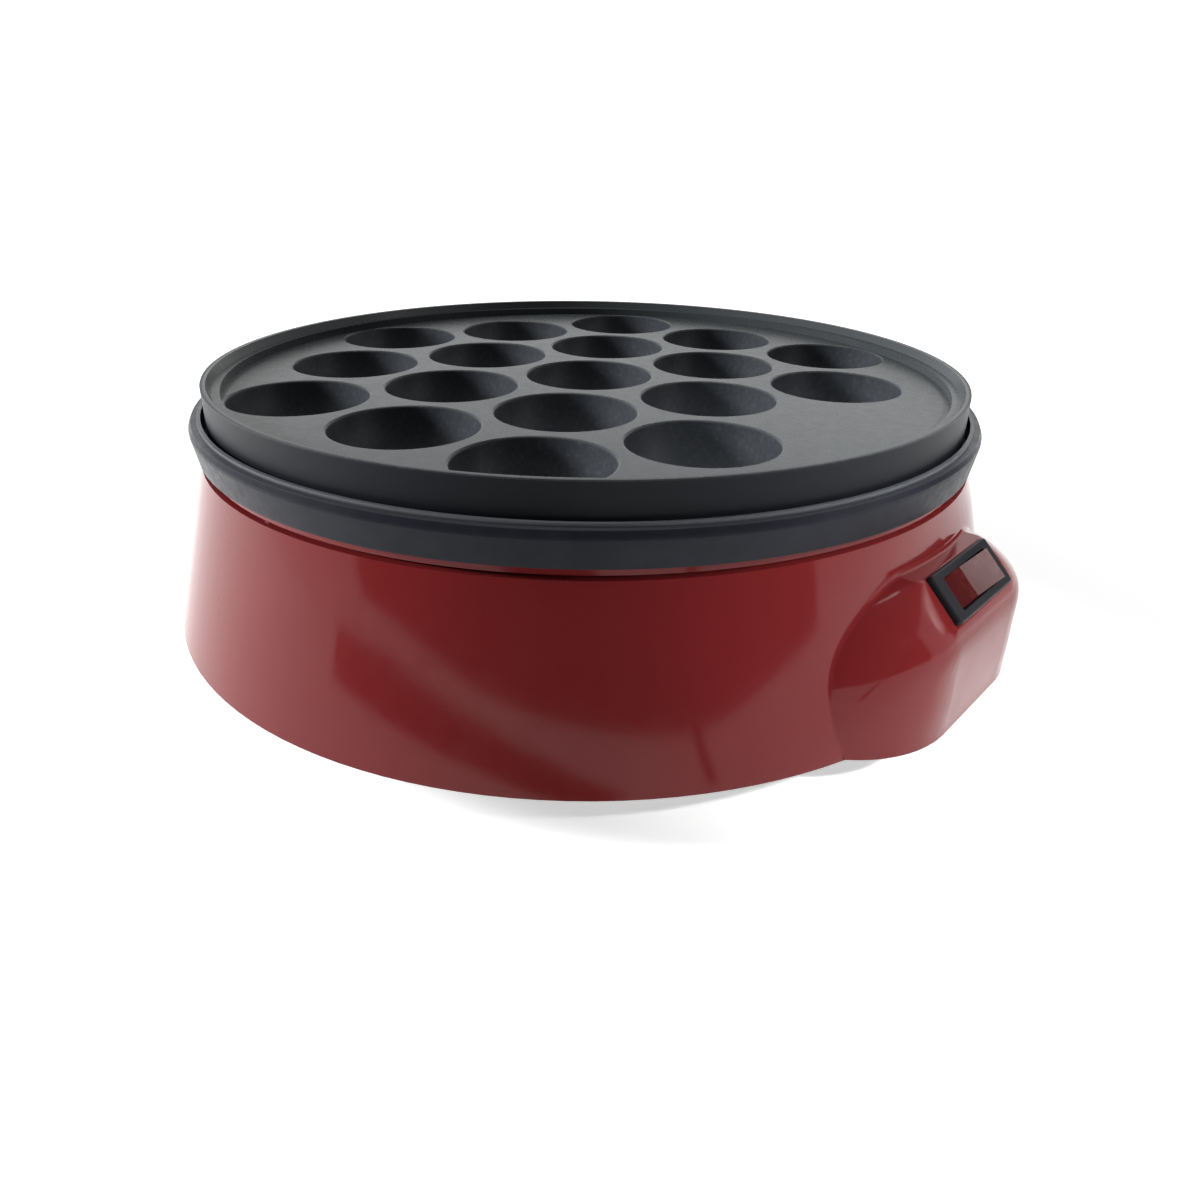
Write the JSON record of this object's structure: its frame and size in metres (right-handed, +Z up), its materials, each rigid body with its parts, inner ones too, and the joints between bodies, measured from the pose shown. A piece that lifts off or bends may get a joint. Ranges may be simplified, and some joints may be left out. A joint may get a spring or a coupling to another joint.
{
  "type": "takoyaki maker",
  "caption": "Round electric takoyaki maker with a dark cast plate of half-ball cups, black collar, glossy red flared body and a lit rocker switch on a front bulge.",
  "frame": {"origin": "centre of the bounding box at the counter, on the drum's axis, under the rubber feet", "axes": "+Z up along the drum's axis, -Y towards the switch, +Y towards the cord bush"},
  "size_m": [0.27, 0.2821, 0.085],
  "materials": {
    "plate_nonstick": "satin dark non-stick coating",
    "collar_black": "satin",
    "body_red": "high gloss",
    "cover_black": "matt",
    "foot_rubber": "matt",
    "bush_rubber": "matt",
    "screw_steel": "zinc plated",
    "pan_steel": "aluminised sheet",
    "element_steel": "oxidised sheath",
    "seal_ceramic": "unglazed",
    "contact_brass": "bright",
    "strap_steel": "plain",
    "fuse_body": "plain",
    "switch_black": "fine satin",
    "rocker_red": "translucent red",
    "plunger_white": "satin",
    "spring_steel": "bright",
    "lamp_glass": "clear",
    "lead_red": "satin",
    "lead_white": "satin",
    "lead_green": "satin"
  },
  "bodies": {
    "base": {"baking_plate": "plate_nonstick", "base_cover": "cover_black", "base_screws": "screw_steel", "body_shell": "body_red", "clamp_screws": "screw_steel", "collar_ring": "collar_black", "collar_screws": "screw_steel", "cord_bush": "bush_rubber", "cord_clamp": "plunger_white", "cord_clamp_screws": "screw_steel", "earth_tab": "contact_brass", "element_clamps": "element_steel", "element_pins": "contact_brass", "element_seals": "seal_ceramic", "foot_back_left": "foot_rubber", "foot_back_right": "foot_rubber", "foot_front_left": "foot_rubber", "foot_front_right": "foot_rubber", "fuse_clip": "strap_steel", "heating_element": "element_steel", "lead_earth": "lead_green", "lead_heater": "lead_white", "lead_live": "lead_red", "lead_neutral": "lead_white", "plate_screws": "screw_steel", "reflector_pan": "pan_steel", "switch_housing": "switch_black", "switch_lamp": "lamp_glass", "switch_terminals": "contact_brass", "terminal_block": "plunger_white", "terminal_inserts": "contact_brass", "terminal_screws": "screw_steel", "thermal_fuse": "fuse_body", "thermostat": "seal_ceramic", "thermostat_blades": "contact_brass", "thermostat_screws": "screw_steel", "thermostat_strap": "strap_steel"},
    "rocker": {"switch_rocker": "rocker_red", "rocker_plunger": "plunger_white", "plunger_spring": "spring_steel"},
    "contact": {"contact_arm": "contact_brass"}
  },
  "joints": [
    {"name": "rocker_tilt", "type": "hinge", "parent": "base", "child": "rocker", "pos_m": [0, -0.13083, 0.04543], "axis": [0, 0.7071, 0.7071], "range_deg": [0, 16]},
    {"name": "contact_tilt", "type": "hinge", "parent": "base", "child": "contact", "pos_m": [0, -0.12425, 0.03885], "axis": [0, 0.7071, 0.7071], "range_deg": [-8, 0]}
  ],
  "couplings": [
    {"joint": "contact_tilt", "follows": "rocker_tilt", "ratio": -0.5}
  ]
}
